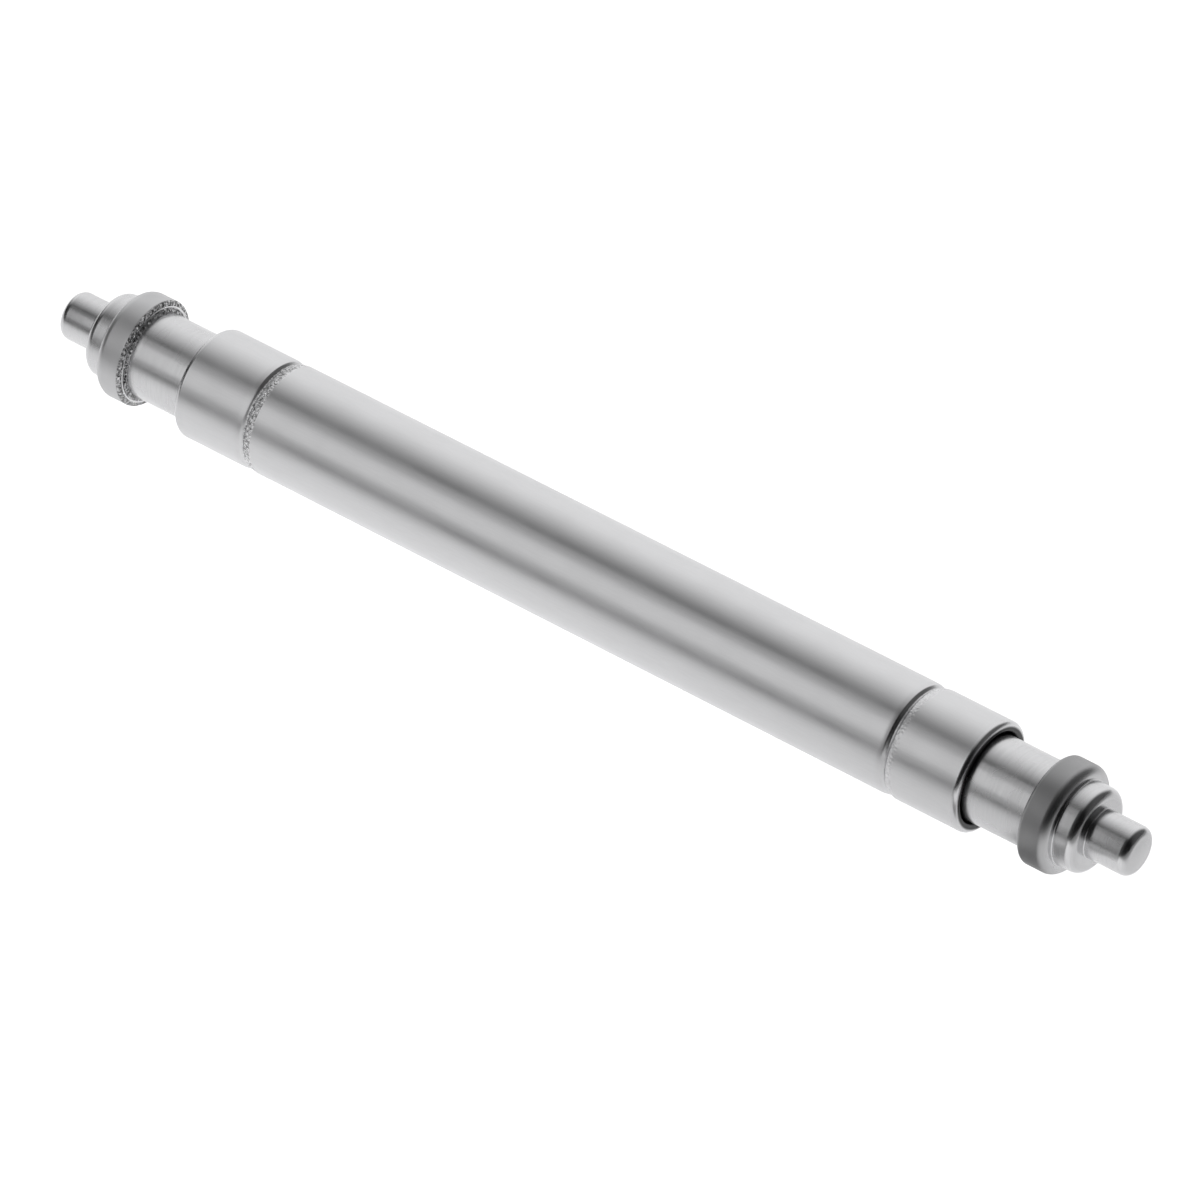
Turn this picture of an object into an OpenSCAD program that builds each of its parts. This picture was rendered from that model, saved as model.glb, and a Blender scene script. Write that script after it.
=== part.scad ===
// Double-shoulder watch spring bar for 24 mm lugs.
// A thin tube holds a coil spring and two plungers. A crimp rolled into the tube near each
// mouth leaves a bead inside, and the bead rides in the plunger's neck and keeps its head in.
// Millimetres. X runs along the bar; the origin is on its axis, midway between the mouths.
// The bar is drawn at rest, with both plungers fully out.

/* [Tube] */
// Outside diameter of the tube
tube_d = 2.5; // [2.2:0.05:3]
// Length of the tube from mouth to mouth
tube_len = 20.3; // [14:0.1:30]
// Wall of the tube
tube_wall = 0.22; // [0.18:0.01:0.26]
// Radius on the outer edge of each mouth
lip_round = 0.12; // [0.04:0.01:0.15]
// Bevel on the inner edge of each mouth
mouth_bevel = 0.03; // [0.02:0.01:0.05]

/* [Crimp] */
// Width of the soft dip that the roller leaves in the tube's outside
dip_w = 0.56; // [0.4:0.02:0.8]
// Depth of the soft dip
dip_depth = 0.04; // [0.02:0.01:0.06]
// Width of the groove in the middle of the dip
groove_w = 0.26; // [0.16:0.02:0.36]
// Depth of the groove below the dip
groove_depth = 0.07; // [0.03:0.01:0.08]
// Width of the bead that the groove raises in the bore
bead_w = 0.36; // [0.3:0.02:0.48]
// Height of the bead above the bore
bead_height = 0.13; // [0.1:0.01:0.16]

/* [Plunger inside the tube] */
// Gap around the head in the bore
head_clear = 0.05; // [0.03:0.005:0.07]
// Length of the head
head_len = 0.9; // [0.6:0.05:1.5]
// Bevel on the head's inner edge
head_bevel = 0.1; // [0.05:0.01:0.2]
// Gap along the axis between the head and the bead at rest
stop_gap = 0.02; // [0.01:0.005:0.05]
// Gap around the neck inside the bead
neck_clear = 0.07; // [0.04:0.005:0.1]
// Gap along the axis between the bead and the end of the neck, fully pressed
neck_gap = 0.08; // [0.03:0.01:0.12]
// Gap around the stem in the bore
stem_clear = 0.055; // [0.02:0.005:0.08]
// Length of stem that is still inside the mouth at rest
guide_len = 0.15; // [0.1:0.01:0.4]

/* [Plunger outside the tube] */
// Stem showing between the mouth and the collar at rest
stem_out = 1.49; // [1:0.01:2]
// Gap between the collar and the mouth, fully pressed
press_gap = 0.07; // [0.05:0.01:0.2]
// Height of the collar above the stem
collar_step = 0.245; // [0.2:0.005:0.3]
// Width of the collar
collar_w = 0.7; // [0.4:0.01:0.9]
// Bevel on the collar's edge that faces the tube
collar_bevel = 0.08; // [0.03:0.01:0.15]
// Radius on the collar's outer edge
collar_round = 0.22; // [0.1:0.01:0.24]
// Height of the collar above the shoulder
shoulder_step = 0.27; // [0.25:0.01:0.35]
// Width of the shoulder that meets the lug
shoulder_w = 0.51; // [0.3:0.01:0.8]
// Radius on the shoulder's outer edge
shoulder_round = 0.2; // [0.05:0.01:0.24]
// Diameter of the tip that enters the lug hole
tip_d = 1.1; // [0.8:0.02:1.3]
// Length of the tip
tip_len = 1.04; // [0.7:0.02:1.4]
// Radius on the tip's outer edge
tip_round = 0.19; // [0.05:0.01:0.24]
// Height of the dome on the tip's end
tip_crown = 0.03; // [0.02:0.01:0.06]

/* [Spring] */
// Diameter of the spring wire
wire_d = 0.25; // [0.2:0.01:0.28]
// Gap around the spring in the bore
spring_clear = 0.08; // [0.05:0.01:0.12]
// Wanted pitch of the coils at rest
coil_pitch = 0.72; // [0.69:0.01:0.9]
// Gap between the spring and each head
seat_gap = 0.02; // [0.01:0.005:0.05]
// Bend radius where the wire turns to meet a head squarely
end_bend = 0.35; // [0.3:0.01:0.45]

/* [Hidden] */
$fn = 96;

// Points on each rounded edge, the tip's dome, each dip and bead, and the spring's wire
edge_steps = 6;
crown_steps = 4;
dip_steps = 20;
bead_steps = 14;
turn_steps = 8;
wire_sides = 6;
bend_steps = 3;

// Radii, outside to inside
tube_r = tube_d / 2;
bore_r = tube_r - tube_wall;
bead_r = bore_r - bead_height;
head_r = bore_r - head_clear;
stem_r = bore_r - stem_clear;
neck_r = bead_r - neck_clear;
collar_r = stem_r + collar_step;
shoulder_r = collar_r - shoulder_step;
tip_r = tip_d / 2;
coil_r = bore_r - spring_clear - wire_d / 2;

// Places along the right half of the bar, from the mouth inwards
travel = stem_out - press_gap;
mouth_x = tube_len / 2;
neck_end_x = mouth_x - guide_len;
crimp_x = neck_end_x - travel - neck_gap - bead_w / 2;
bead_contact = bead_w / 180 * acos(sqrt(head_clear / bead_height));
head_x = crimp_x - bead_contact - stop_gap;
seat_x = head_x - head_len;

// Places along the right half of the bar, from the mouth outwards
collar_x = mouth_x + stem_out;
shoulder_x = collar_x + collar_w;
tip_x = shoulder_x + shoulder_w;
end_x = tip_x + tip_len;

// The spring's length and turns
coil_half = seat_x - seat_gap;
turns = floor(2 * coil_half / coil_pitch);
rough_slope = atan((coil_half - wire_d - end_bend) / (turns * PI * coil_r));
helix_half = coil_half - wire_d - end_bend * cos(rough_slope);
slope = atan(helix_half / (turns * PI * coil_r));

// A raised cosine of the given width and height, centred on 0
function bump(x, width, height) =
    abs(x) < width / 2 ? height * pow(cos(180 * x / width), 2) : 0;

// How far the rolled tube lies below its outside diameter, at x from the crimp's middle
function rolled_depth(x) = bump(x, dip_w, dip_depth) + bump(x, groove_w, groove_depth);

// Points of an arc about [x, r], from one angle to another
function arc(x, r, radius, from, to) =
    [for (i = [0:edge_steps])
        let (a = from + (to - from) * i / edge_steps)
        [x + radius * cos(a), r + radius * sin(a)]];

// The tube's outside from the crimp to the mouth, then its bore back to the crimp
half_tube_outline = concat(
    [for (i = [-dip_steps / 2:dip_steps / 2])
        let (x = dip_w * i / dip_steps)
        [crimp_x + x, tube_r - rolled_depth(x)]],
    arc(mouth_x - lip_round, tube_r - lip_round, lip_round, 90, 0),
    [[mouth_x, bore_r + mouth_bevel], [mouth_x - mouth_bevel, bore_r]],
    [for (i = [bead_steps / 2:-1:-bead_steps / 2])
        let (x = bead_w * i / bead_steps)
        [crimp_x + x, bore_r - bump(x, bead_w, bead_height)]]);

// The plunger from its inner face to the middle of its tip, as [x, radius]
plunger_outline = concat(
    [[seat_x, 0], [seat_x, head_r - head_bevel], [seat_x + head_bevel, head_r],
     [head_x, head_r], [head_x, neck_r], [neck_end_x, neck_r], [neck_end_x, stem_r],
     [collar_x, stem_r], [collar_x, collar_r - collar_bevel],
     [collar_x + collar_bevel, collar_r]],
    arc(shoulder_x - collar_round, collar_r - collar_round, collar_round, 90, 0),
    [[shoulder_x, shoulder_r]],
    arc(tip_x - shoulder_round, shoulder_r - shoulder_round, shoulder_round, 90, 0),
    [[tip_x, tip_r]],
    arc(end_x - tip_crown - tip_round, tip_r - tip_round, tip_round, 90, 0),
    [for (i = [crown_steps - 1:-1:0])
        [end_x - tip_crown * pow(i / crown_steps, 2), (tip_r - tip_round) * i / crown_steps]]);

// Turns an outline of [x, radius] points about the X axis
module turned(outline) {
    rotate([0, 90, 0])
        rotate_extrude()
            polygon([for (p = outline) [p[1], p[0]]]);
}

module tube() {
    mirrored = [for (i = [len(half_tube_outline) - 1:-1:0])
        [-half_tube_outline[i][0], half_tube_outline[i][1]]];
    color([0.78, 0.78, 0.78])
        turned(concat(half_tube_outline, mirrored));
}

module plunger() {
    color([0.7, 0.7, 0.72])
        turned(plunger_outline);
}

module plunger_right() {
    plunger();
}

module plunger_left() {
    mirror([1, 0, 0])
        plunger();
}

// One point of the wire's middle line: x along the bar and the angle about it
function helix_points(n) = [for (i = [-n:n]) [helix_half * i / n, 180 * turns * i / n]];

// The wire's turn from the helix to straight along the bar, at the right end
function bend_points() =
    [for (i = [1:bend_steps])
        let (a = slope + (90 - slope) * i / bend_steps)
        [helix_half + end_bend * (cos(slope) - cos(a)),
         180 * turns + end_bend * (sin(a) - sin(slope)) / coil_r * 180 / PI]];

function far_end(points) = [coil_half, points[len(points) - 1][1]];

function flipped(points) = [for (i = [len(points) - 1:-1:0]) -points[i]];

right_bend = bend_points();
right_run = concat(right_bend, [far_end(right_bend)]);
wire_path = concat(flipped(right_run), helix_points(turns * turn_steps / 2), right_run);

// A point of the path as a place in space
function on_coil(p) = [p[0], coil_r * cos(p[1]), coil_r * sin(p[1])];

// The wire's direction at point i of the path: its own along the helix, the bar's at the ends
function heading(i) =
    i == 0 || i == len(wire_path) - 1 ? [1, 0, 0] :
    let (d = on_coil(wire_path[i + 1]) - on_coil(wire_path[i - 1])) d / norm(d);

// The wire's ring of points about point i of the path
function wire_ring(i) =
    let (p = wire_path[i],
         out = [0, cos(p[1]), sin(p[1])],
         across = cross(heading(i), out),
         side = across / norm(across),
         up = cross(side, heading(i)))
    [for (k = [0:wire_sides - 1])
        let (a = 360 * k / wire_sides)
        on_coil(p) + wire_d / 2 * (cos(a) * up + sin(a) * side)];

module spring() {
    rings = len(wire_path);
    points = [for (i = [0:rings - 1]) each wire_ring(i)];
    walls = [for (i = [0:rings - 2], k = [0:wire_sides - 1])
        let (a = i * wire_sides + k,
             b = i * wire_sides + (k + 1) % wire_sides)
        each [[a, a + wire_sides, b], [b, a + wire_sides, b + wire_sides]]];
    first = [for (k = [1:wire_sides - 2]) [0, k, k + 1]];
    last_ring = (rings - 1) * wire_sides;
    last = [for (k = [1:wire_sides - 2]) [last_ring, last_ring + k + 1, last_ring + k]];
    color([0.6, 0.6, 0.62])
        polyhedron(points, concat(walls, first, last));
}

// The least gap between one stretch of the wire and another, half a turn or more away
function least_gap() =
    min([for (i = [0:len(wire_path) - 1], j = [i + turn_steps / 2:len(wire_path) - 1])
        norm(on_coil(wire_path[i]) - on_coil(wire_path[j]))]) - wire_d;

echo(travel = travel, crimp_x = crimp_x, end_x = end_x, turns = turns, least_gap = least_gap());

tube();
spring();
plunger_left();
plunger_right();
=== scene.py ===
"""A double-shoulder watch spring bar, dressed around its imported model.

The tube, the two turned plungers and the coil spring are modelled at full detail in
millimetres, brought to metres, and set on the bodies that carry them. The bar lies on a
pale floor under soft light. X runs along the bar and Z is up.
"""

import logging
import math
from dataclasses import dataclass, field
from enum import Enum
from functools import reduce

import bmesh
import bpy
from mathutils import Matrix, Vector


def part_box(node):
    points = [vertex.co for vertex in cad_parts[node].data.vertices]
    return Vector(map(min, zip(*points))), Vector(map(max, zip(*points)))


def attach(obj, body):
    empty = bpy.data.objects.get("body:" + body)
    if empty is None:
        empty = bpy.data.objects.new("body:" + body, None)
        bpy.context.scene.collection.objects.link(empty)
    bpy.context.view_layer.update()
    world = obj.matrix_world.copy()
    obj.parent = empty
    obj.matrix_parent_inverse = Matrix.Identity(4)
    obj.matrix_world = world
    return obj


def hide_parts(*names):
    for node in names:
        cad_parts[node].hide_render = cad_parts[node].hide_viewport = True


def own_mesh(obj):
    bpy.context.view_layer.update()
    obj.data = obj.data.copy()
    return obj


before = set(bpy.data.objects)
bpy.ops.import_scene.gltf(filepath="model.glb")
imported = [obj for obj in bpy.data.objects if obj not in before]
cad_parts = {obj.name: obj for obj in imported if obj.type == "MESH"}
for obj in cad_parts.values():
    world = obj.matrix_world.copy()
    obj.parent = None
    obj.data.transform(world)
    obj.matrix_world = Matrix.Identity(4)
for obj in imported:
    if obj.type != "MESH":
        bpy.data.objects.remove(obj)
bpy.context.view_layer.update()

# A millimetre in metres
MM = 0.001
# Points closer than this many millimetres are one point
NEAR = 1e-4
ACROSS = (0.0, 1.0, 1.0)
WHITE = (1.0, 1.0, 1.0, 1.0)
HALF_TURN = Matrix.Rotation(math.pi, 4, "Y")

Pair = tuple[float, float]
Piece = bpy.types.Object
Socket = bpy.types.NodeSocket
NodeTree = bpy.types.NodeTree

log = logging.getLogger("spring_bar")


class Body(Enum):
    """The bodies that move against each other."""

    TUBE = "tube"
    PLUNGER_LEFT = "plunger_left"
    PLUNGER_RIGHT = "plunger_right"


class Slot(Enum):
    """The record's material slots."""

    TUBE_STEEL = "tube_steel"
    TURNED_STEEL = "turned_steel"
    SPRING_WIRE = "spring_wire"


class Mark(Enum):
    """The marks that a piece's faces carry for its finish to read."""

    WORN = "worn_edge"
    FACED = "faced_end"
    # The collar's rim, which is rougher and carries painted shade
    RIM = "collar_rim"


@dataclass(frozen=True)
class Cut:
    """One corner of a turned profile, in millimetres.

    Args:
        x: Place along the bar.
        radius: Distance from the bar's axis.
        ease: Radius on the corner, or 0 where the profile only bends.
        steps: Faces round the eased corner.
    """

    x: float
    radius: float
    ease: float = 0.0
    steps: int = 4


class Lathe:
    """Turns a form about the bar's axis by drawing a ring of edges from cut to cut."""

    SIDES = 256

    def __init__(self, name: str, first: Cut) -> None:
        """Adds the first ring and leaves it selected in edit mode.

        Args:
            name: Name of the finished piece.
            first: The corner that the profile starts from.
        """
        bpy.ops.mesh.primitive_circle_add(
            vertices=self.SIDES, radius=first.radius, fill_type="NOTHING",
            location=(first.x, 0.0, 0.0), rotation=(0.0, math.pi / 2, 0.0))
        self.piece = bpy.context.object
        self.piece.name = name
        self.piece.data.name = name
        bpy.ops.object.transform_apply(location=True, rotation=True, scale=True)
        bpy.ops.object.mode_set(mode="EDIT")
        bpy.ops.mesh.select_mode(type="EDGE")
        bpy.ops.mesh.select_all(action="SELECT")
        self.last = first
        self.corners: list[Cut] = []

    def cut_to(self, cut: Cut) -> None:
        """Draws the open ring on to the next corner.

        Args:
            cut: The corner that the ring goes to.
        """
        self.draw(cut.x - self.last.x)
        grow = cut.radius / self.last.radius
        bpy.ops.transform.resize(value=(1.0, grow, grow), center_override=(cut.x, 0.0, 0.0))
        self.last = cut
        if cut.ease:
            self.corners.append(cut)

    @staticmethod
    def draw(run: float) -> None:
        """Draws the selected ring on along the bar."""
        bpy.ops.mesh.extrude_region_move(TRANSFORM_OT_translate={"value": (run, 0.0, 0.0)})

    def close_ring(self, run: float = 0.0) -> None:
        """Draws the selected ring on along the bar and in to one point on the axis."""
        self.draw(run)
        bpy.ops.mesh.merge(type="CENTER")

    def ease_corners(self) -> None:
        """Bevels each corner that has a radius and marks its faces as worn."""
        form = bmesh.from_edit_mesh(self.piece.data)
        form.faces.layers.float.new(Mark.WORN.value)
        for corner in self.corners:
            self.select_ring(corner)
            bpy.ops.mesh.bevel(offset=corner.ease, segments=corner.steps, affect="EDGES")
            form = bmesh.from_edit_mesh(self.piece.data)
            worn = form.faces.layers.float[Mark.WORN.value]
            for face in form.faces:
                if face.select:
                    face[worn] = 1.0

    def select_ring(self, corner: Cut) -> None:
        """Selects the ring of edges at a corner and nothing else.

        Args:
            corner: The corner whose ring is wanted.
        """
        bpy.ops.mesh.select_all(action="DESELECT")
        form = bmesh.from_edit_mesh(self.piece.data)
        for edge in form.edges:
            edge.select_set(all(
                abs(point.co.x - corner.x) < NEAR
                and abs(math.hypot(point.co.y, point.co.z) - corner.radius) < NEAR
                for point in edge.verts))
        bmesh.update_edit_mesh(self.piece.data)

    def finish(self) -> Piece:
        """Closes the form and gives up the piece, still in millimetres."""
        close_up()
        return self.piece


def close_up() -> None:
    """Joins the active piece's points where they meet, and turns its faces outwards."""
    bpy.ops.object.mode_set(mode="EDIT")
    bpy.ops.mesh.select_all(action="SELECT")
    bpy.ops.mesh.remove_doubles(threshold=NEAR)
    bpy.ops.mesh.normals_make_consistent(inside=False)
    bpy.ops.object.mode_set(mode="OBJECT")


def pick(piece: Piece) -> None:
    """Makes one piece the active and only selected object."""
    bpy.ops.object.select_all(action="DESELECT")
    piece.select_set(True)
    bpy.context.view_layer.objects.active = piece


def to_metres(piece: Piece) -> None:
    """Brings a piece from millimetres to metres, with the scale in its mesh."""
    pick(piece)
    piece.scale = (MM, MM, MM)
    bpy.ops.object.transform_apply(location=True, rotation=True, scale=True)


def smooth(piece: Piece, crease_deg: float) -> None:
    """Shades a piece smooth with its normals held by its largest faces.

    Args:
        piece: The piece to shade.
        crease_deg: Angle between faces above which an edge stays sharp.
    """
    pick(piece)
    bpy.ops.object.shade_smooth_by_angle(angle=math.radians(crease_deg))
    weigh = piece.modifiers.new("weighted_normals", "WEIGHTED_NORMAL")
    weigh.keep_sharp = True
    bpy.ops.object.modifier_apply(modifier=weigh.name)


def other_end(piece: Piece, name: str) -> Piece:
    """Copies a finished right-hand piece with its own mesh, turned end for end.

    Args:
        piece: The finished piece.
        name: Name of the copy.

    Returns:
        The copy.
    """
    pick(piece)
    bpy.ops.object.duplicate(linked=False)
    copy = bpy.context.object
    copy.name = name
    copy.data.name = name
    copy.matrix_world = HALF_TURN @ copy.matrix_world
    bpy.ops.object.transform_apply(location=True, rotation=True, scale=True)
    return copy


class Bench:
    """Lays out one node tree: adds nodes, sets their values and wires them."""

    # The Mix node has a socket of each name for every kind of value, so these go by place
    MIX_COLOURS = (6, 7)
    MIX_RESULT = 2
    NUMBER_OPERATIONS = ("LENGTH", "DOT_PRODUCT")

    def __init__(self, tree: NodeTree) -> None:
        """Starts with an empty tree."""
        self.tree = tree
        tree.nodes.clear()

    def add(self, kind: str, *terms: object, **values: object) -> bpy.types.Node:
        """Adds a node.

        Args:
            kind: The node's type name.
            terms: Its first inputs, as sockets or plain values.
            values: Attributes of the node to set.

        Returns:
            The node.
        """
        node = self.tree.nodes.new(kind)
        for name, value in values.items():
            setattr(node, name, value)
        for place, term in enumerate(terms):
            self.feed(node.inputs[place], term)
        return node

    def feed(self, target: Socket, source: object) -> None:
        """Wires a socket from another, or sets its value.

        Args:
            target: The input socket.
            source: An output socket, or a plain value.
        """
        if isinstance(source, Socket):
            self.tree.links.new(source, target)
        else:
            target.default_value = source

    def math(self, operation: str, *terms: object, clamp: bool = False) -> Socket:
        """Works out one operation, held between 0 and 1 where clamp is set."""
        node = self.add("ShaderNodeMath", *terms, operation=operation, use_clamp=clamp)
        return node.outputs["Value"]

    def times(self, *terms: object) -> Socket:
        """Multiplies two or more values."""
        return reduce(lambda product, term: self.math("MULTIPLY", product, term), terms)

    def vector_math(self, operation: str, *terms: object) -> Socket:
        """Works out one vector operation, as a number where it gives a number."""
        node = self.add("ShaderNodeVectorMath", *terms, operation=operation)
        return node.outputs["Value" if operation in self.NUMBER_OPERATIONS else "Vector"]

    def ramp(self, value: object, low: float, high: float, start: object, end: object,
             soft: bool = True) -> Socket:
        """Maps a value from one range to another, held at both ends.

        Args:
            value: The value to map.
            low: Value that gives start.
            high: Value that gives end.
            start: Result at low.
            end: Result at high.
            soft: Whether the change eases in and out.

        Returns:
            The result's socket.
        """
        kind = "SMOOTHSTEP" if soft else "LINEAR"
        node = self.add("ShaderNodeMapRange", value, low, high, start, end,
                        interpolation_type=kind, clamp=True)
        return node.outputs["Result"]

    def vector(self, x: object, y: object, z: object) -> Socket:
        """Joins three values into a vector."""
        return self.add("ShaderNodeCombineXYZ", x, y, z).outputs["Vector"]

    def split(self, vector: Socket) -> tuple[Socket, ...]:
        """Takes a vector apart into X, Y and Z."""
        return tuple(self.add("ShaderNodeSeparateXYZ", vector).outputs)

    def noise(self, coordinates: object, scale: object, detail: float = 2.0,
              rough: float = 0.5, w: object = None) -> Socket:
        """Adds a noise texture, in four dimensions where w is given.

        Args:
            coordinates: Where the noise is read.
            scale: How many features there are to a unit.
            detail: Octaves of finer noise.
            rough: Strength of the finer octaves.
            w: The fourth coordinate.

        Returns:
            The noise's value.
        """
        node = self.add("ShaderNodeTexNoise", coordinates, 0.0 if w is None else w, scale,
                        detail, rough, noise_dimensions="3D" if w is None else "4D")
        return node.outputs["Fac"]

    def mix(self, share: object, first: object, second: object) -> Socket:
        """Blends two colours.

        Args:
            share: How much of the second shows.
            first: Colour or socket.
            second: Colour or socket.

        Returns:
            The blended colour.
        """
        node = self.add("ShaderNodeMix", share, data_type="RGBA")
        for place, colour in zip(self.MIX_COLOURS, (first, second)):
            self.feed(node.inputs[place], colour)
        return node.outputs[self.MIX_RESULT]


class GroupBench(Bench):
    """Lays out a node group that reads coordinates and numbers, the first of them in mm."""

    def __init__(self, name: str, inputs: dict[str, float], *outputs: str) -> None:
        """Makes the group with its sockets.

        Args:
            name: The group's name.
            inputs: Each number's name and usual value.
            outputs: Names of the values that it puts out.
        """
        tree = bpy.data.node_groups.new(name, "ShaderNodeTree")
        new_socket = tree.interface.new_socket
        new_socket("Place", in_out="INPUT", socket_type="NodeSocketVector")
        for label, value in inputs.items():
            socket = new_socket(label, in_out="INPUT", socket_type="NodeSocketFloat")
            socket.default_value = value
        for label in outputs:
            new_socket(label, in_out="OUTPUT", socket_type="NodeSocketFloat")
        super().__init__(tree)
        given = self.add("NodeGroupInput").outputs
        self.place, self.per_length = given[0], self.math("DIVIDE", 1.0 / MM, given[1])
        self.given = given
        self.put = self.add("NodeGroupOutput").inputs


class SurfaceEffects:
    """The effects that the steels share, each built once as a node group."""

    LEAST_RADIUS = 1e-6
    GRAIN_HEIGHT = 0.6
    PIT_EDGES = (0.48, 0.38)
    CREST_EDGES = (0.53, 0.6)

    def __init__(self) -> None:
        """Builds the groups."""
        self.turning = self._turning_marks()
        self.grain = self._drawn_grain()
        self.speckle = self._speckle()
        self.sway = self._slow_sway()

    def _turning_marks(self) -> NodeTree:
        """Rings left by a cutter: they follow the axis on a barrel and circle it on a face.

        Returns:
            The group's tree.
        """
        group = GroupBench("turning_marks", {"Feed mm": 0.05, "Wander": 1.5}, "Height")
        x, y, z = group.split(group.place)
        radius = group.math("SQRT", group.math(
            "ADD", group.math("POWER", y, 2.0), group.math("POWER", z, 2.0)))
        safe = group.math("MAXIMUM", radius, self.LEAST_RADIUS)
        east, north = (group.times(group.math("DIVIDE", way, safe), group.given["Wander"])
                       for way in (y, z))
        along, out = (group.times(way, group.per_length) for way in (x, radius))
        rings = group.noise(group.vector(along, out, east), 1.0, rough=0.6, w=north)
        group.feed(group.put["Height"], rings)
        return group.tree

    def _drawn_grain(self) -> NodeTree:
        """Fine lines along the bar, as drawing and polishing leave them.

        Returns:
            The group's tree.
        """
        group = GroupBench("drawn_grain", {"Line mm": 0.03, "Stretch": 40.0}, "Height")
        x, y, z = group.split(group.place)
        place = group.vector(group.math("DIVIDE", x, group.given["Stretch"]), y, z)
        lines = group.noise(place, group.per_length, detail=3.0, rough=0.6)
        group.feed(group.put["Height"], lines)
        return group.tree

    def _speckle(self) -> NodeTree:
        """Small pits and grains, with masks of the deepest and the highest ones.

        Returns:
            The group's tree.
        """
        group = GroupBench("speckle", {"Grain mm": 0.04}, "Height", "Pits", "Crests")
        rough = group.noise(group.place, group.per_length, rough=0.7)
        cells = group.add("ShaderNodeTexVoronoi")
        group.feed(cells.inputs["Vector"], group.place)
        group.feed(cells.inputs["Scale"], group.per_length)
        grains = group.times(cells.outputs["Distance"], self.GRAIN_HEIGHT)
        group.feed(group.put["Height"], group.math("ADD", rough, grains))
        group.feed(group.put["Pits"], group.ramp(rough, *self.PIT_EDGES, 0.0, 1.0))
        group.feed(group.put["Crests"], group.ramp(rough, *self.CREST_EDGES, 0.0, 1.0))
        return group.tree

    def _slow_sway(self) -> NodeTree:
        """Slow unevenness over a millimetre or more, which makes reflections sway.

        Returns:
            The group's tree.
        """
        group = GroupBench("slow_sway", {"Length mm": 2.0}, "Height")
        waves = group.noise(group.place, group.per_length, detail=1.0, rough=0.4)
        group.feed(group.put["Height"], waves)
        return group.tree


@dataclass(frozen=True)
class SteelFinish:
    """What every steel here shares: a bare metal whose surface carries its making.

    Lengths and depths are in millimetres, here and in each finish.

    Args:
        slot: The record's slot that it stands for.
        colour: Its colour.
        roughness: Its usual roughness.
        spread: How far roughness strays either way.
        blotch_len: Length of the patches that shine more or less.
        speck_size: Size of its specks.
        speck_depth: Their depth.
        pit_tint: How dark the deepest specks are.
        crest_tint: How light the highest specks are.
    """

    slot: Slot
    colour: tuple[float, float, float]
    roughness: float
    spread: float
    blotch_len: float
    speck_size: float
    speck_depth: float
    pit_tint: float
    crest_tint: float = 1.35

    def build(self, effects: SurfaceEffects) -> bpy.types.Material:
        """Builds the material.

        Args:
            effects: The shared node groups.

        Returns:
            The material.
        """
        steel = SteelBench(self, effects)
        self.lay(steel)
        for name, source in (("Normal", steel.normal), ("Roughness", steel.roughness),
                             ("Base Color", steel.colour)):
            steel.feed(steel.shader.inputs[name], source)
        return steel.material

    def lay(self, steel: "SteelBench") -> None:
        """Lays the specks all over; a finish that shows more lays its own marks."""
        steel.speck(1.0)

    def tint(self, factor: float) -> tuple[float, float, float, float]:
        """The finish's colour, darker or lighter by a factor."""
        return (*(min(1.0, factor * part) for part in self.colour), 1.0)


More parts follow.
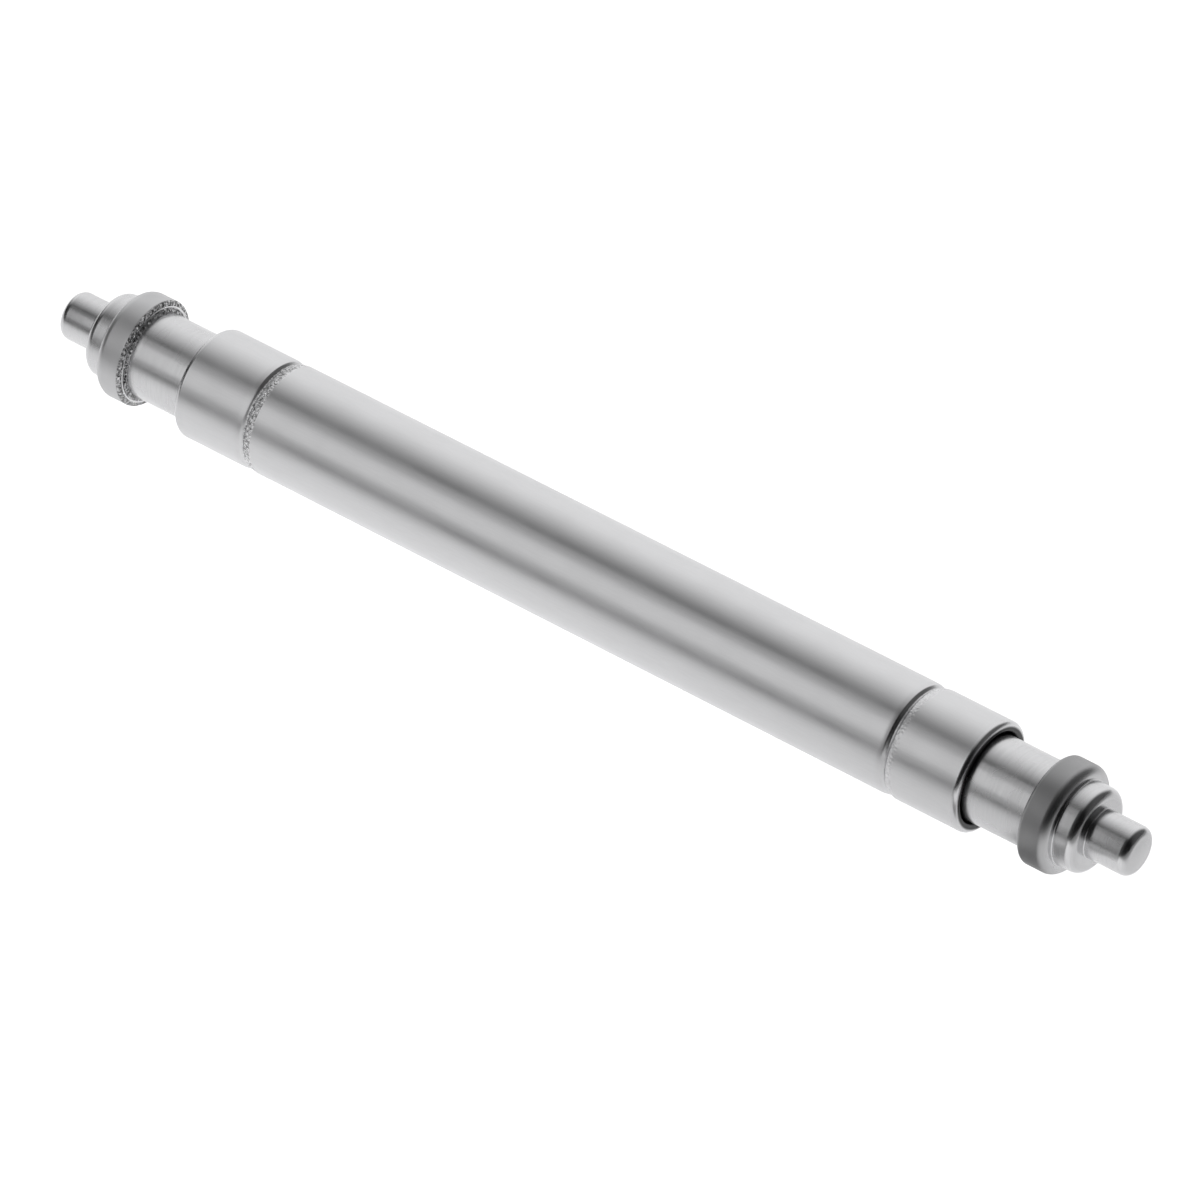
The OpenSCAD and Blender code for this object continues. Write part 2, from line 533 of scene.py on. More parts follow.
class SteelBench(Bench):
    """Lays out one steel's material, mark by mark."""

    NOISE_EDGES = (0.3, 0.7)

    def __init__(self, finish: SteelFinish, effects: SurfaceEffects) -> None:
        """Makes the material, with its usual colour and slowly uneven roughness.

        Args:
            finish: The finish that the material shows.
            effects: The shared node groups.
        """
        self.finish, self.effects = finish, effects
        self.material = bpy.data.materials.new(finish.slot.value)
        self.material.use_nodes = True
        self.material.diffuse_color = (*finish.colour, 1.0)
        super().__init__(self.material.node_tree)
        self.shader = self.add("ShaderNodeBsdfPrincipled")
        self.shader.inputs["Metallic"].default_value = 1.0
        self.add("ShaderNodeOutputMaterial", self.shader.outputs["BSDF"])
        self.place = self.add("ShaderNodeTexCoord").outputs["Object"]
        self.along = self.split(self.place)[0]
        self.normal = None
        self.colour = finish.tint(1.0)
        blotch = self.effect(effects.sway, finish.blotch_len)
        self.roughness = self.ramp(blotch["Height"], *self.NOISE_EDGES,
                                   finish.roughness - finish.spread,
                                   finish.roughness + finish.spread)

    def effect(self, tree: NodeTree, *values: float) -> bpy.types.bpy_prop_collection:
        """Places one of the shared effects with its numbers, for what it puts out."""
        return self.add("ShaderNodeGroup", self.place, *values, node_tree=tree).outputs

    def mark(self, mark: Mark) -> Socket:
        """Reads one of the marks on the piece's faces."""
        return self.add("ShaderNodeAttribute", attribute_name=mark.value).outputs["Fac"]

    def relief(self, height: Socket, depth_mm: float, share: object = 1.0) -> None:
        """Adds relief of a real depth on top of the last.

        Args:
            height: The relief, from 0 to about 1.
            depth_mm: How far a height of 1 stands out.
            share: How strongly it shows.
        """
        node = self.add("ShaderNodeBump")
        node.inputs["Distance"].default_value = depth_mm * MM
        self.feed(node.inputs["Strength"], share)
        self.feed(node.inputs["Height"], height)
        if self.normal is not None:
            self.feed(node.inputs["Normal"], self.normal)
        self.normal = node.outputs["Normal"]

    def roughen(self, mask: Socket, change: float) -> None:
        """Makes the surface rougher where a mask shows, or smoother."""
        self.roughness = self.math("MULTIPLY_ADD", mask, change, self.roughness, clamp=True)

    def paint(self, mask: Socket, colour: object) -> None:
        """Lays a colour over the last one where a mask shows."""
        self.colour = self.mix(mask, self.colour, colour)

    def line(self, lines: Socket, stray: float) -> None:
        """Makes the colour a little darker and lighter from line to line."""
        self.colour = self.mix(self.ramp(lines, *self.NOISE_EDGES, 0.0, 1.0),
                               self.finish.tint(1.0 - stray), self.finish.tint(1.0 + stray))

    def speck(self, share: object) -> None:
        """Lays the finish's specks.

        Args:
            share: How strongly they show.
        """
        specks = self.effect(self.effects.speckle, self.finish.speck_size)
        self.relief(specks["Height"], self.finish.speck_depth, share)
        for kind, tint in (("Crests", self.finish.crest_tint), ("Pits", self.finish.pit_tint)):
            self.paint(self.times(specks[kind], share), self.finish.tint(tint))


@dataclass(frozen=True)
class TubeSteel(SteelFinish):
    """Drawn tube with a fine satin skin, rolled rough in the two crimps.

    Args:
        crimp: Place of the crimps along the bar.
        rough_from: Where the roller's rough track begins, beside a crimp's middle.
        rough_to: Where the track ends.
        right_share: How rough the right crimp is, beside the left one.
        rolled_polish: How much smoother the crimps are between their specks.
        bore_edges: Radii between which the rough bore, with its painted shade, gives way to the
            polished outside.
        bored_rough: How much rougher the bore is.
        bore_painted_shade: How dark the painted shade in the bore and on the inner part of the
            mouth's face is.
        sway_len: Length of the wall's slow waves.
        sway_depth: Their depth.
        line_w: Width of the drawing lines.
        line_stretch: How many times longer than wide they are.
        line_depth: Their depth.
        line_stray: How far their colour strays either way.
        worn_polish: How much smoother the worn edges are.
    """

    slot: Slot = Slot.TUBE_STEEL
    colour: tuple[float, float, float] = (0.72, 0.72, 0.73)
    roughness: float = 0.3
    spread: float = 0.02
    blotch_len: float = 0.9
    speck_size: float = 0.055
    speck_depth: float = 0.045
    pit_tint: float = 0.42
    crimp: float = 8.32
    rough_from: Pair = (-0.04, 0.02)
    rough_to: Pair = (0.18, 0.27)
    right_share: float = 0.25
    rolled_polish: float = 0.08
    bore_edges: Pair = (1.12, 1.18)
    bored_rough: float = 0.15
    bore_painted_shade: float = 0.1
    sway_len: float = 2.6
    sway_depth: float = 0.004
    line_w: float = 0.03
    line_stretch: float = 12.0
    line_depth: float = 0.00009
    line_stray: float = 0.015
    worn_polish: float = 0.05

    def lay(self, steel: SteelBench) -> None:
        """Lays the waves, the drawing lines, the rolled crimps, and the rough bore with its
        painted shade.

        Args:
            steel: The material's bench.
        """
        grain = steel.effect(steel.effects.grain, self.line_w, self.line_stretch)
        sway = steel.effect(steel.effects.sway, self.sway_len)
        steel.relief(sway["Height"], self.sway_depth)
        steel.relief(grain["Height"], self.line_depth)
        steel.line(grain["Height"], self.line_stray)
        rolled, bored = self._rolled(steel), self._bore_with_shade(steel)
        steel.speck(rolled)
        steel.roughen(rolled, -self.rolled_polish)
        steel.roughen(bored, self.bored_rough)
        steel.roughen(steel.mark(Mark.WORN), -self.worn_polish)
        # Painted shade: the bore and the inner part of the mouth's face are darkened
        steel.paint(bored, self.tint(self.bore_painted_shade))

    def _rolled(self, steel: SteelBench) -> Socket:
        """Masks the rough track in the two crimps, 1 in the left one at its strongest.

        Args:
            steel: The material's bench.

        Returns:
            The mask.
        """
        side = steel.math("SIGN", steel.along)
        away = steel.math("SUBTRACT", steel.along, steel.times(side, self.crimp * MM))
        start, full = (edge * MM for edge in self.rough_from)
        off, end = (edge * MM for edge in self.rough_to)
        return steel.times(steel.ramp(away, start, full, 0.0, 1.0),
                           steel.ramp(away, off, end, 1.0, 0.0),
                           steel.ramp(side, -1.0, 1.0, 1.0, self.right_share, soft=False))

    def _bore_with_shade(self, steel: SteelBench) -> Socket:
        """Masks the bore, which is rougher and carries painted shade.

        Args:
            steel: The material's bench.

        Returns:
            The mask.
        """
        reach = steel.vector_math("LENGTH", steel.vector_math("MULTIPLY", steel.place, ACROSS))
        inner, outer = (edge * MM for edge in self.bore_edges)
        return steel.ramp(reach, inner, outer, 1.0, 0.0)


@dataclass(frozen=True)
class TurnedSteel(SteelFinish):
    """Bright turned bar: fine rings on the barrels, coarser and speckled on the faces.

    Args:
        rim_rough: How much rougher the collars' rims are.
        right_rim_painted_shade: How dark the painted shade on the right collar's rim is, beside
            the rest.
        left_rim_painted_shade: The same for the left collar's rim, whose painted shade is
            lighter.
        cut_edges: How strongly a face must be marked for its specks to begin and to be full.
        right_share: How rough the right plunger's faces are, beside the left one's.
        ring_feed: Width of the fine rings.
        ring_wander: How much they wander round the bar.
        ring_depth: Their depth.
        ring_stray: How far their colour strays either way.
        faced_feed: Width of the coarser rings on the faces.
        faced_wander: How much they wander.
        faced_depth: Their depth.
        faced_tint: How dark the faces are.
        worn_polish: How much smoother the worn edges are.
    """

    slot: Slot = Slot.TURNED_STEEL
    colour: tuple[float, float, float] = (0.7, 0.7, 0.71)
    roughness: float = 0.26
    spread: float = 0.03
    blotch_len: float = 0.6
    speck_size: float = 0.06
    speck_depth: float = 0.09
    pit_tint: float = 0.08
    rim_rough: float = 0.19
    right_rim_painted_shade: float = 0.58
    left_rim_painted_shade: float = 0.9
    cut_edges: Pair = (0.62, 0.95)
    right_share: float = 0.12
    ring_feed: float = 0.02
    ring_wander: float = 2.0
    ring_depth: float = 0.0004
    ring_stray: float = 0.04
    faced_feed: float = 0.045
    faced_wander: float = 3.0
    faced_depth: float = 0.012
    faced_tint: float = 0.62
    worn_polish: float = 0.04

    def lay(self, steel: SteelBench) -> None:
        """Lays the rings, the collars' rims with their painted shade, and the speckled faces.

        Args:
            steel: The material's bench.
        """
        turning = steel.effects.turning
        fine = steel.effect(turning, self.ring_feed, self.ring_wander)
        coarse = steel.effect(turning, self.faced_feed, self.faced_wander)
        faced, rim = steel.mark(Mark.FACED), steel.mark(Mark.RIM)
        right = steel.ramp(steel.along, -MM, MM, 0.0, 1.0)
        cut = steel.times(steel.ramp(faced, *self.cut_edges, 0.0, 1.0),
                          steel.ramp(right, 0.0, 1.0, 1.0, self.right_share))
        steel.relief(fine["Height"], self.ring_depth)
        steel.relief(coarse["Height"], self.faced_depth, cut)
        steel.line(fine["Height"], self.ring_stray)
        steel.roughen(rim, self.rim_rough)
        steel.roughen(steel.mark(Mark.WORN), -self.worn_polish)
        # Painted shade on the collars' rims, darker on the right collar than on the left
        steel.paint(rim, steel.mix(right, self.tint(self.left_rim_painted_shade),
                                   self.tint(self.right_rim_painted_shade)))
        steel.paint(faced, self.tint(self.faced_tint))
        steel.speck(cut)


@dataclass(frozen=True)
class SpringWire(SteelFinish):
    """Drawn spring wire, semi-bright, with faint specks all over."""

    slot: Slot = Slot.SPRING_WIRE
    colour: tuple[float, float, float] = (0.6, 0.6, 0.62)
    roughness: float = 0.3
    spread: float = 0.05
    blotch_len: float = 0.5
    speck_size: float = 0.03
    speck_depth: float = 0.0008
    pit_tint: float = 0.7
    crest_tint: float = 1.0


class SubAssembly:
    """What every sub-assembly shares: its pieces are built, then dressed and mounted."""

    def pieces(self) -> list[tuple[Piece, Body, str]]:
        """Builds each piece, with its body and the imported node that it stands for."""
        raise NotImplementedError

    def assemble(self, finish: SteelFinish, effects: SurfaceEffects) -> list[Piece]:
        """Builds the pieces, gives each its material and sets it on its body.

        Args:
            finish: The finish that the pieces share.
            effects: The shared node groups.

        Returns:
            The pieces.
        """
        material = finish.build(effects)
        pieces = self.pieces()
        for piece, body, node in pieces:
            piece.data.materials.clear()
            piece.data.materials.append(material)
            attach(piece, body.value)
            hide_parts(node)
        return [piece for piece, _, _ in pieces]


@dataclass
class TubeShell(SubAssembly):
    """The tube: rounded mouths, two crimps rolled in, and the beads that they raise inside.

    Sizes are in millimetres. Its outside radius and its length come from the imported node.
    """

    wall: float = 0.22
    lip_round: float = 0.12
    mouth_bevel: float = 0.03
    inner_ease: float = 0.028
    crimp_from_mouth: float = 1.83
    dip_w: float = 0.42
    dip_depth: float = 0.03
    groove_w: float = 0.17
    groove_depth: float = 0.05
    bead_w: float = 0.36
    bead_height: float = 0.13
    lip_steps: int = 14
    dip_rings: int = 44
    bead_rings: int = 16
    crease_deg: float = 40.0
    radius: float = field(init=False)
    mouth_x: float = field(init=False)
    crimp_x: float = field(init=False)

    def __post_init__(self) -> None:
        """Takes the tube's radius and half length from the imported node."""
        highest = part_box("tube")[1]
        self.radius = highest.z / MM
        self.mouth_x = highest.x / MM
        self.crimp_x = self.mouth_x - self.crimp_from_mouth

    @staticmethod
    def bump(x: float, width: float, height: float) -> float:
        """A raised cosine of the given width and height, centred on 0."""
        return height * math.cos(math.pi * x / width) ** 2 if abs(x) < width / 2 else 0.0

    def outside(self) -> list[Cut]:
        """Lists the outside's corners.

        Returns:
            The corners from the middle of the bar to the right mouth.
        """
        cuts = [Cut(0.0, self.radius)]
        for ring in range(self.dip_rings + 1):
            x = self.dip_w * (ring / self.dip_rings - 0.5)
            depth = (self.bump(x, self.dip_w, self.dip_depth)
                     + self.bump(x, self.groove_w, self.groove_depth))
            cuts.append(Cut(self.crimp_x + x, self.radius - depth))
        cuts.append(Cut(self.mouth_x, self.radius, self.lip_round, self.lip_steps))
        return cuts

    def inside(self) -> list[Cut]:
        """Lists the mouth's inner bevel and the bore.

        Returns:
            The corners from the right mouth back to the middle of the bar.
        """
        bore = self.radius - self.wall
        cuts = [Cut(self.mouth_x, bore + self.mouth_bevel, self.inner_ease),
                Cut(self.mouth_x - self.mouth_bevel, bore, self.inner_ease)]
        for ring in range(self.bead_rings + 1):
            x = self.bead_w * (0.5 - ring / self.bead_rings)
            cuts.append(Cut(self.crimp_x + x, bore - self.bump(x, self.bead_w, self.bead_height)))
        cuts.append(Cut(0.0, bore))
        return cuts

    def build(self) -> Piece:
        """Turns the right half, mirrors it and closes the two halves.

        Returns:
            The tube in metres.
        """
        outside = self.outside()
        lathe = Lathe("tube_shell", outside[0])
        for cut in outside[1:] + self.inside():
            lathe.cut_to(cut)
        lathe.ease_corners()
        shell = lathe.finish()
        mirror = shell.modifiers.new("left_half", "MIRROR")
        mirror.use_axis = (True, False, False)
        mirror.merge_threshold = NEAR
        bpy.ops.object.modifier_apply(modifier=mirror.name)
        close_up()
        smooth(shell, self.crease_deg)
        to_metres(shell)
        return shell

    def pieces(self) -> list[tuple[Piece, Body, str]]:
        """The tube, with its body and node."""
        return [(self.build(), Body.TUBE, "tube")]


@dataclass
class Plunger(SubAssembly):
    """The two turned plungers: head, neck and stem, then collar, shoulder and domed tip.

    Sizes are in millimetres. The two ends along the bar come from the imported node. The
    slopes say how far a face looks along the bar where its mark is full, on faces towards
    the tube, and where it begins, on outer faces.
    """

    head_r: float = 0.98
    head_len: float = 0.9
    head_bevel: float = 0.1
    neck_r: float = 0.83
    stem_r: float = 0.975
    collar_r: float = 1.22
    collar_bevel: float = 0.09
    collar_round: float = 0.22
    shoulder_r: float = 0.95
    shoulder_round: float = 0.2
    tip_r: float = 0.55
    tip_round: float = 0.19
    tip_crown: float = 0.03
    tip_len: float = 1.04
    shoulder_w: float = 0.51
    collar_w: float = 0.7
    stem_len: float = 1.64
    edge_ease: float = 0.018
    root_ease: float = 0.025
    collar_fillet: float = 0.04
    ridge_r: float = 1.09
    ridge_half: float = 0.02
    ridge_rise: float = 0.015
    fillet_steps: int = 8
    round_steps: int = 10
    collar_steps: int = 14
    outer_steps: int = 12
    crown_rings: int = 6
    crown_share: float = 0.95
    faced_slope: float = 0.4
    outer_slope: float = 0.45
    outer_share: float = 0.6
    crease_deg: float = 40.0
    seat_x: float = field(init=False)
    end_x: float = field(init=False)

    def __post_init__(self) -> None:
        """Takes the plunger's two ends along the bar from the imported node."""
        lowest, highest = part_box("plunger_right")
        self.seat_x = lowest.x / MM
        self.end_x = highest.x / MM

    def profile(self) -> list[Cut]:
        """Lists the right plunger's corners.

        Returns:
            The corners from its inner face to the edge of its tip.
        """
        tip_x = self.end_x - self.tip_len
        shoulder_x = tip_x - self.shoulder_w
        collar_x = shoulder_x - self.collar_w
        neck_end_x = collar_x - self.stem_len
        head_x = self.seat_x + self.head_len
        edge, root = self.edge_ease, self.root_ease
        return [
            Cut(self.seat_x, self.head_r - self.head_bevel, edge),
            Cut(self.seat_x + self.head_bevel, self.head_r, edge),
            Cut(head_x, self.head_r, edge),
            Cut(head_x, self.neck_r, root),
            Cut(neck_end_x, self.neck_r, root),
            Cut(neck_end_x, self.stem_r, edge),
            Cut(collar_x, self.stem_r, self.collar_fillet, self.fillet_steps),
            Cut(collar_x, self.ridge_r - self.ridge_half, edge),
            Cut(collar_x - self.ridge_rise, self.ridge_r, edge),
            Cut(collar_x, self.ridge_r + self.ridge_half, edge),
            Cut(collar_x, self.collar_r, self.collar_bevel, self.round_steps),
            Cut(shoulder_x, self.collar_r, self.collar_round, self.collar_steps),
            Cut(shoulder_x, self.shoulder_r, root),
            Cut(tip_x, self.shoulder_r, self.shoulder_round, self.outer_steps),
            Cut(tip_x, self.tip_r, root),
            Cut(self.end_x - self.tip_crown, self.tip_r, self.tip_round, self.outer_steps),
        ]

    def build(self) -> Piece:
        """Turns the right plunger.

        Returns:
            The plunger in metres.
        """
        start = Cut(self.seat_x, self.tip_r)
        lathe = Lathe("plunger_right_turned", start)
        for cut in self.profile():
            lathe.cut_to(cut)
        crown_r = self.tip_r - self.tip_round
        for ring in range(self.crown_rings):
            share = (1.0 - ring / self.crown_rings) * self.crown_share
            lathe.cut_to(Cut(self.end_x - self.tip_crown * share ** 2, crown_r * share))
        lathe.close_ring(self.end_x - lathe.last.x)
        lathe.ease_corners()
        lathe.select_ring(start)
        lathe.close_ring()
        plunger = lathe.finish()
        smooth(plunger, self.crease_deg)
        self._mark_faces(plunger)
        to_metres(plunger)
        return plunger

    def pieces(self) -> list[tuple[Piece, Body, str]]:
        """Builds both plungers.

        Returns:
            Each with its body and node.
        """
        right = self.build()
        left = other_end(right, "plunger_left_turned")
        return [(right, Body.PLUNGER_RIGHT, "plunger_right"),
                (left, Body.PLUNGER_LEFT, "plunger_left")]

    def _mark_faces(self, plunger: Piece) -> None:
        """Marks the faces that look along the bar, and the collar's rim.

        Faces towards the tube are marked in full, apart from the bright ridge, and outer
        faces in part. The rim's mark, which the finish reads for a rougher surface and painted
        shade, fades as the surface turns to look along the bar.

        Args:
            plunger: The right plunger, in millimetres.
        """
        faced, rim = [], []
        shoulder_x = self.end_x - self.tip_len - self.shoulder_w
        collar_x = shoulder_x - self.collar_w
        for face in plunger.data.polygons:
            along = face.normal.x
            reach = math.hypot(face.center.y, face.center.z)
            beside = max(abs(face.center.x - collar_x), abs(reach - self.ridge_r))
            outwards = (along - self.outer_slope) / (1.0 - self.outer_slope)
            if beside < self.ridge_half:
                faced.append(0.0)
            elif along < 0.0:
                faced.append(min(1.0, -along / self.faced_slope))
            else:
                faced.append(self.outer_share * min(1.0, max(0.0, outwards)))
            on_rim = collar_x < face.center.x < shoulder_x
            rim.append(math.sqrt(max(0.0, 1.0 - along * along)) if on_rim else 0.0)
        for mark, values in ((Mark.FACED, faced), (Mark.RIM, rim)):
            marks = plunger.data.attributes.new(mark.value, "FLOAT", "FACE")
            marks.data.foreach_set("value", values)


@dataclass
class CoilSpring(SubAssembly):
    """The compression spring, in two halves that meet at the middle.

    Sizes are in millimetres. The travel is the range of each plunger's joint.
    """

    wire_d: float = 0.25
    coil_r: float = 0.825
    turns_each: float = 10.0
    end_bend: float = 0.35
    travel: float = 1.42
    steps_per_turn: int = 40
    wire_rounds: int = 3
    bend_steps: int = 8
    crease_deg: float = 50.0
    half: float = field(init=False)

    def __post_init__(self) -> None:
        """Takes half the spring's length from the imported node."""
        self.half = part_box("spring")[1].x / MM

    @property
    def pressed_share(self) -> float:
        """What is left of each half's length when its plunger is pressed right in."""
        return 1.0 - self.travel / self.half

    def wire_line(self) -> list[Vector]:
        """The middle line of the right half's wire.

        Returns:
            Points from the middle of the bar along the helix, round the bend that turns the
            wire along the bar, and to its end.
        """
        run = self.half - self.wire_d - self.end_bend
        slope = math.atan(run / (self.turns_each * math.tau * self.coil_r))
        helix_end = self.half - self.wire_d - self.end_bend * math.cos(slope)
        steps = round(self.turns_each * self.steps_per_turn)
        line = [(helix_end * step / steps, math.tau * self.turns_each * step / steps)
                for step in range(steps + 1)]
        last_turn = line[-1][1]
        for step in range(1, self.bend_steps + 1):
            heading = slope + (math.pi / 2 - slope) * step / self.bend_steps
            line.append((
                helix_end + self.end_bend * (math.cos(slope) - math.cos(heading)),
                last_turn + self.end_bend * (math.sin(heading) - math.sin(slope)) / self.coil_r))
        line.append((self.half, line[-1][1]))
        return [Vector((x, self.coil_r * math.cos(turn), self.coil_r * math.sin(turn)))
                for x, turn in line]

    def build(self) -> Piece:
        """Draws the right half's wire and gives it its thickness.

        Returns:
            The right half in metres.
        """
        points = self.wire_line()
        wire = bpy.data.curves.new("spring_right_half", "CURVE")
        wire.dimensions = "3D"
        wire.bevel_depth = self.wire_d / 2
        wire.bevel_resolution = self.wire_rounds
        wire.use_fill_caps = True
        run = wire.splines.new("POLY")
        run.points.add(len(points) - 1)
        for knot, point in zip(run.points, points):
            knot.co = (*point, 1.0)
        piece = bpy.data.objects.new(wire.name, wire)
        bpy.context.scene.collection.objects.link(piece)
        pick(piece)
        bpy.ops.object.convert(target="MESH")
        piece = bpy.context.object
        close_up()
        bpy.ops.object.shade_smooth_by_angle(angle=math.radians(self.crease_deg))
        to_metres(piece)
        return piece

    def pieces(self) -> list[tuple[Piece, Body, str]]:
        """Builds both halves.

        Returns:
            Each with its body and node.
        """
        right = self.build()
        left = other_end(right, "spring_left_half")
        return [(right, Body.TUBE, "spring"), (left, Body.TUBE, "spring")]

    def assemble(self, finish: SteelFinish, effects: SurfaceEffects) -> list[Piece]:
        """Mounts both halves, each with its own mesh.

        Args:
            finish: The wire's finish.
            effects: The shared node groups.

        Returns:
            The halves.
        """
        halves = super().assemble(finish, effects)
        for half, joint in zip(halves, ("press_right", "press_left")):
            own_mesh(half)
        return halves


@dataclass(frozen=True)
class Softbox:
    """One soft light along the bar, seen only in reflections.

    Args:
        name: Name of the light.
        height_deg: Its angle about the bar's axis, from +Y through straight up.
        half_deg: Half the angle that it fills, seen from the axis.
        radiance: Its brightness, where a white wall in full light is 1.
        distance_mm: Its distance from the axis.
        span_mm: Its two ends along the bar.
    """

    name: str
    height_deg: float
    half_deg: float
    radiance: float
    distance_mm: float = 12.0
    span_mm: Pair = (-20.4, 8.0)

    def hang(self) -> None:
        """Hangs the light."""
        angle = math.radians(self.height_deg)
        back = Vector((0.0, math.cos(angle), math.sin(angle)))
        along = Vector((1.0, 0.0, 0.0))
        first, last = self.span_mm
        lamp = bpy.data.lights.new(self.name, "AREA")
        lamp.shape = "RECTANGLE"
        lamp.size = (last - first) * MM
        lamp.size_y = 2.0 * self.distance_mm * math.tan(math.radians(self.half_deg)) * MM
        lamp.energy = self.radiance * math.pi * lamp.size * lamp.size_y
        box = bpy.data.objects.new(self.name, lamp)
        bpy.context.scene.collection.objects.link(box)
        turn = Matrix((along, back.cross(along), back)).transposed().to_4x4()
        turn.translation = (back * self.distance_mm + along * (first + last) / 2.0) * MM
        box.matrix_world = turn
        box.visible_camera = False


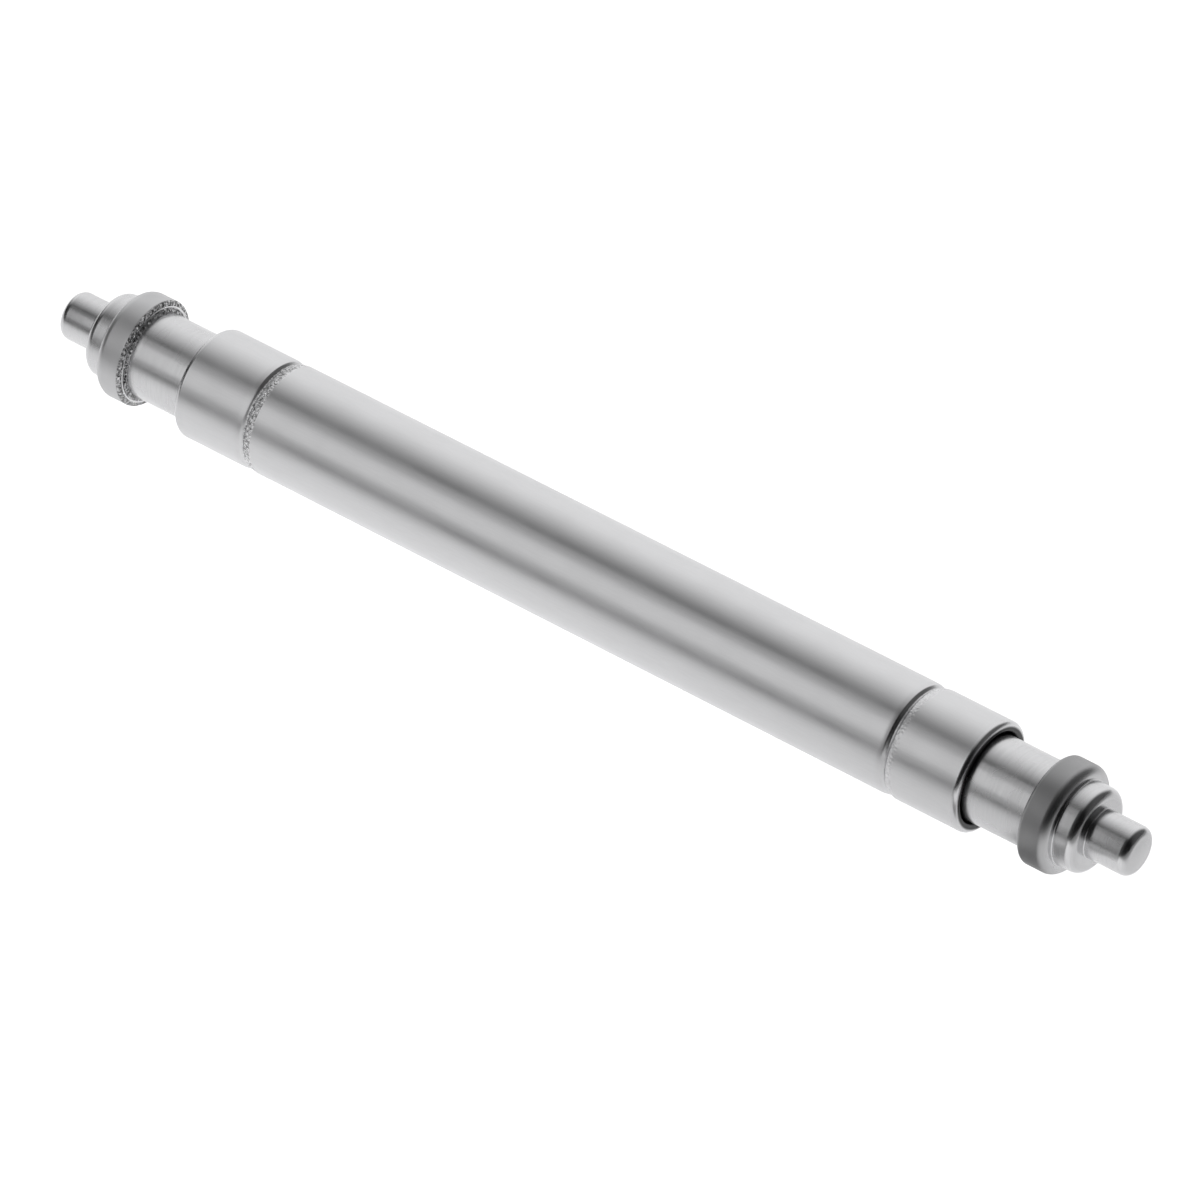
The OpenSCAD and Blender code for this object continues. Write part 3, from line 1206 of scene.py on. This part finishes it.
@dataclass
class Studio:
    """The pale floor, the soft light and the camera.

    The floor glows evenly behind the bar and fades towards the front. A shade lies on it in
    front of the right collar, and it darkens beyond the right end. Both show in reflections
    alone, because the camera sees the floor evenly lit. The room is bright behind the bar
    and dark in front, and darker towards its two ends. Edges are given as where a change
    begins and where it ends.
    """

    floor_half_mm: float = 1500.0
    white: float = 0.9
    floor_rough: float = 0.9
    seen_glow: float = 0.92
    back_glow: float = 0.68
    front_glow: float = 0.12
    front_edges_mm: Pair = (-9.0, 1.0)
    front_end_edges_mm: Pair = (11.3, 12.4)
    floor_end_edges_mm: Pair = (15.0, 19.0)
    floor_end_share: float = 0.1
    shade_start_edges_mm: Pair = (10.6, 11.2)
    shade_stop_edges_mm: Pair = (11.8, 12.5)
    shade_front_edges_mm: Pair = (-1.6, -0.4)
    shade_depth: float = 0.9
    bright_towards: tuple[float, float, float] = (0.0, 0.925, 0.38)
    bright_edges: Pair = (0.16, 0.975)
    bright_levels: Pair = (0.05, 0.95)
    left_edges: Pair = (-1.0, -0.8)
    left_share: float = 0.1
    right_edges: Pair = (-0.1, 0.35)
    right_share: float = 0.11
    softboxes: tuple[Softbox, ...] = (
        Softbox("front_wide", 140.0, 34.0, 0.38),
        Softbox("front_narrow", 141.0, 18.0, 0.33))
    focal_px: float = 12000.0
    picture_px: float = 1200.0
    sensor_mm: float = 36.0
    azimuth_deg: float = 37.45
    elevation_deg: float = 41.56
    distance_mm: float = 247.61
    bar_middle_px: Pair = (593.09, 576.70)
    near_clip_mm: float = 10.0
    far_clip_mm: float = 100000.0

    def build(self, rest_z: float) -> None:
        """Sets up the whole studio.

        Args:
            rest_z: Height of the floor that the bar lies on, in metres.
        """
        self._floor(rest_z)
        self._surround()
        for softbox in self.softboxes:
            softbox.hang()
        self._camera()
        bpy.context.scene.view_settings.view_transform = "Standard"

    def _floor(self, rest_z: float) -> None:
        """Lays the floor.

        Args:
            rest_z: Height of its top.
        """
        bpy.ops.mesh.primitive_plane_add(
            size=2.0 * self.floor_half_mm * MM, location=(0.0, 0.0, rest_z))
        floor = bpy.context.object
        floor.name = "floor"
        bpy.ops.object.transform_apply(location=True, rotation=True, scale=True)
        material = bpy.data.materials.new("pale_floor")
        material.use_nodes = True
        bench = Bench(material.node_tree)
        shader = bench.add("ShaderNodeBsdfPrincipled")
        bench.add("ShaderNodeOutputMaterial", shader.outputs["BSDF"])
        for name, value in (("Base Color", (self.white, self.white, self.white, 1.0)),
                            ("Roughness", self.floor_rough), ("Specular IOR Level", 0.0),
                            ("Emission Color", WHITE)):
            bench.feed(shader.inputs[name], value)
        seen = bench.add("ShaderNodeLightPath").outputs["Is Camera Ray"]
        glow = bench.math("MAXIMUM", self._floor_glow(bench), bench.times(seen, self.seen_glow))
        bench.feed(shader.inputs["Emission Strength"], glow)
        floor.data.materials.append(material)

    def _floor_glow(self, bench: Bench) -> Socket:
        """Works out how strongly each place on the floor glows in reflections.

        Args:
            bench: The floor material's bench.

        Returns:
            The strength.
        """
        place = bench.add("ShaderNodeTexCoord").outputs["Object"]
        along, across, _ = bench.split(place)

        def step(value: Socket, edges_mm: Pair, start: object, end: object,
                 soft: bool = True) -> Socket:
            """Changes from start to end between two edges in millimetres."""
            first, last = (edge * MM for edge in edges_mm)
            return bench.ramp(value, first, last, start, end, soft)

        front = step(along, self.front_end_edges_mm, self.front_glow, self.back_glow)
        glow = step(across, self.front_edges_mm, front, self.back_glow, soft=False)
        shade = bench.times(step(along, self.shade_start_edges_mm, 0.0, 1.0),
                            step(along, self.shade_stop_edges_mm, 1.0, 0.0),
                            step(across, self.shade_front_edges_mm, 1.0, 0.0))
        return bench.times(glow, step(along, self.floor_end_edges_mm, 1.0, self.floor_end_share),
                           bench.ramp(shade, 0.0, 1.0, 1.0, 1.0 - self.shade_depth, soft=False))

    def _surround(self) -> None:
        """Lights the room from behind and leaves it dark in front and towards its ends."""
        world = bpy.data.worlds.new("studio")
        bpy.context.scene.world = world
        world.use_nodes = True
        bench = Bench(world.node_tree)
        towards = bench.add("ShaderNodeTexCoord").outputs["Generated"]
        around = bench.vector_math("NORMALIZE", bench.vector_math("MULTIPLY", towards, ACROSS))
        facing = bench.vector_math("DOT_PRODUCT", around, self.bright_towards)
        along = bench.split(towards)[0]
        level = bench.times(
            bench.ramp(facing, *self.bright_edges, *self.bright_levels, soft=False),
            bench.ramp(along, *self.left_edges, self.left_share, 1.0),
            bench.ramp(along, *self.right_edges, 1.0, self.right_share))
        seen = bench.add("ShaderNodeLightPath").outputs["Is Camera Ray"]
        ground = bench.add("ShaderNodeBackground", WHITE, bench.math("MAXIMUM", level, seen))
        bench.add("ShaderNodeOutputWorld", ground.outputs["Background"])

    def _camera(self) -> None:
        """Sets the camera at the photograph's angle, with the bar where it stands there."""
        azimuth = math.radians(self.azimuth_deg)
        elevation = math.radians(self.elevation_deg)
        right = Vector((math.cos(azimuth), math.sin(azimuth), 0.0))
        back = Vector((math.sin(azimuth) * math.cos(elevation),
                       -math.cos(azimuth) * math.cos(elevation), math.sin(elevation)))
        up = back.cross(right)
        mm_per_px = self.distance_mm / self.focal_px
        middle = self.picture_px / 2.0
        place = (back * self.distance_mm
                 + right * (middle - self.bar_middle_px[0]) * mm_per_px
                 - up * (middle - self.bar_middle_px[1]) * mm_per_px)
        lens = bpy.data.cameras.new("camera")
        lens.sensor_width = self.sensor_mm
        lens.lens = self.sensor_mm * self.focal_px / self.picture_px
        lens.clip_start = self.near_clip_mm * MM
        lens.clip_end = self.far_clip_mm * MM
        camera = bpy.data.objects.new("camera", lens)
        bpy.context.scene.collection.objects.link(camera)
        turn = Matrix((right, up, back)).transposed().to_4x4()
        turn.translation = place * MM
        camera.matrix_world = turn
        bpy.context.scene.camera = camera


def main() -> None:
    """Builds the bar piece by piece, then the studio."""
    effects = SurfaceEffects()
    for assembly, finish in ((TubeShell(), TubeSteel()), (Plunger(), TurnedSteel()),
                             (CoilSpring(), SpringWire())):
        for piece in assembly.assemble(finish, effects):
            log.info("%s: %d faces", piece.name, len(piece.data.polygons))

    Studio().build(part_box("tube")[0].z)


if __name__ == "__main__":
    logging.basicConfig(level=logging.INFO, format="%(name)s: %(message)s")
    main()
